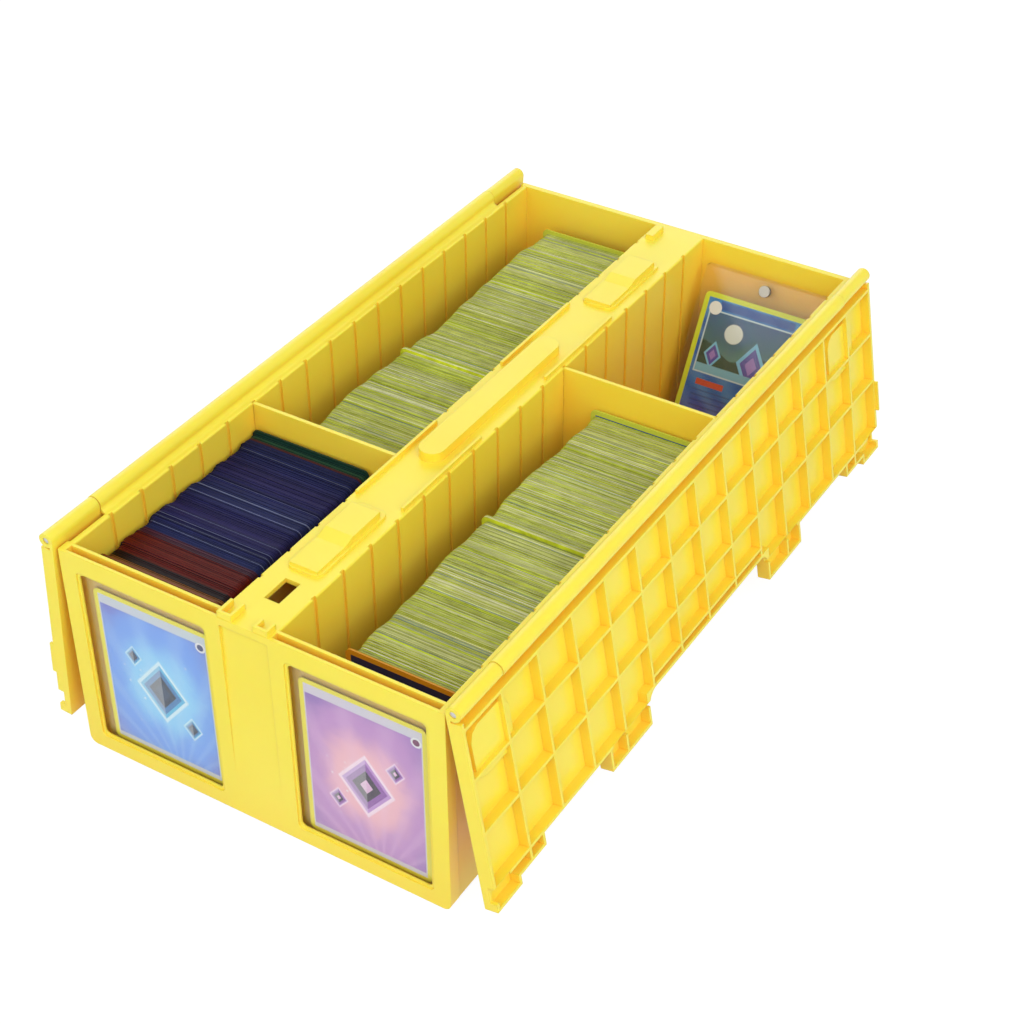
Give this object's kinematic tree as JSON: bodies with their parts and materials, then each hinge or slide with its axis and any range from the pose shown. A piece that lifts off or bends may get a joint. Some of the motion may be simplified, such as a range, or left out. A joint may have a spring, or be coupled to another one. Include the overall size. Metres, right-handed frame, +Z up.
{
  "type": "trading card storage bin",
  "caption": "Long two-row plastic bin for trading cards with hinged half lids, lift-out partitions and card windows in the front panel.",
  "frame": {"origin": "middle of the bin's footprint on the table, at the foot of the web under the middle divider", "axes": "+X to the right seen from the windows, +Y to the back along the rows, +Z up"},
  "size_m": [0.2368, 0.3838, 0.1206],
  "materials": {
    "yellow_plastic": "satin",
    "clear_plastic": "gloss",
    "steel": "satin",
    "magnet": "bright",
    "card_blue": "satin",
    "card_violet": "satin",
    "card_edges_navy": "matte",
    "card_edges_green": "matte",
    "card_dark_red": "satin",
    "card_dark_green": "satin",
    "card_orange": "satin",
    "card_teal": "satin"
  },
  "bodies": {
    "bin": {"bin_tub": "yellow_plastic", "hinge_rod_left": "steel", "hinge_rod_right": "steel"},
    "left_lid": {"lid_left": "yellow_plastic"},
    "right_lid": {"lid_right": "yellow_plastic"},
    "left_partition": {"partition_left": "yellow_plastic"},
    "right_partition": {"partition_right": "yellow_plastic"},
    "left_display": {"display_sleeve_left": "clear_plastic", "display_card_left": "card_blue"},
    "right_display": {"display_sleeve_right": "clear_plastic", "display_card_right": "card_violet"},
    "dark_cards": {"cards_dark_first": "card_dark_red", "cards_dark_stack": "card_edges_navy", "cards_dark_last": "card_dark_green"},
    "rear_cards": {"cards_rear_first": "card_orange", "cards_rear_stack": "card_edges_green", "cards_rear_last": "card_edges_green"},
    "front_cards": {"cards_front_first": "card_orange", "cards_front_stack": "card_edges_green", "cards_front_last": "card_edges_green"},
    "card_case": {"case_front_shell": "clear_plastic", "case_rear_shell": "clear_plastic", "case_card": "card_teal", "case_magnet_front": "magnet", "case_magnet_rear": "magnet"}
  },
  "joints": [
    {"name": "left_lid_hinge", "type": "hinge", "parent": "bin", "child": "left_lid", "pos_m": [-0.1033, 0, 0.1168], "axis": [0, 1, 0], "range_deg": [-3.95, 266.05]},
    {"name": "right_lid_hinge", "type": "hinge", "parent": "bin", "child": "right_lid", "pos_m": [0.1033, 0, 0.1168], "axis": [0, -1, 0], "range_deg": [-9.45, 260.55]},
    {"name": "left_partition_lift", "type": "slide", "parent": "bin", "child": "left_partition", "axis": [0, 0, 1], "range_m": [0, 0.112]},
    {"name": "right_partition_lift", "type": "slide", "parent": "bin", "child": "right_partition", "axis": [0, 0, 1], "range_m": [0, 0.112]},
    {"name": "left_display_lift", "type": "slide", "parent": "bin", "child": "left_display", "axis": [0, 0, 1], "range_m": [0, 0.115]},
    {"name": "right_display_lift", "type": "slide", "parent": "bin", "child": "right_display", "axis": [0, 0, 1], "range_m": [0, 0.115]},
    {"name": "dark_cards_lift", "type": "slide", "parent": "bin", "child": "dark_cards", "axis": [0, 0, 1], "range_m": [0, 0.112]},
    {"name": "rear_cards_lift", "type": "slide", "parent": "bin", "child": "rear_cards", "axis": [0, 0, 1], "range_m": [0, 0.112]},
    {"name": "front_cards_lift", "type": "slide", "parent": "bin", "child": "front_cards", "axis": [0, 0, 1], "range_m": [0, 0.112]},
    {"name": "card_case_lift", "type": "slide", "parent": "bin", "child": "card_case", "axis": [0, 0, 1], "range_m": [0, 0.112]}
  ]
}
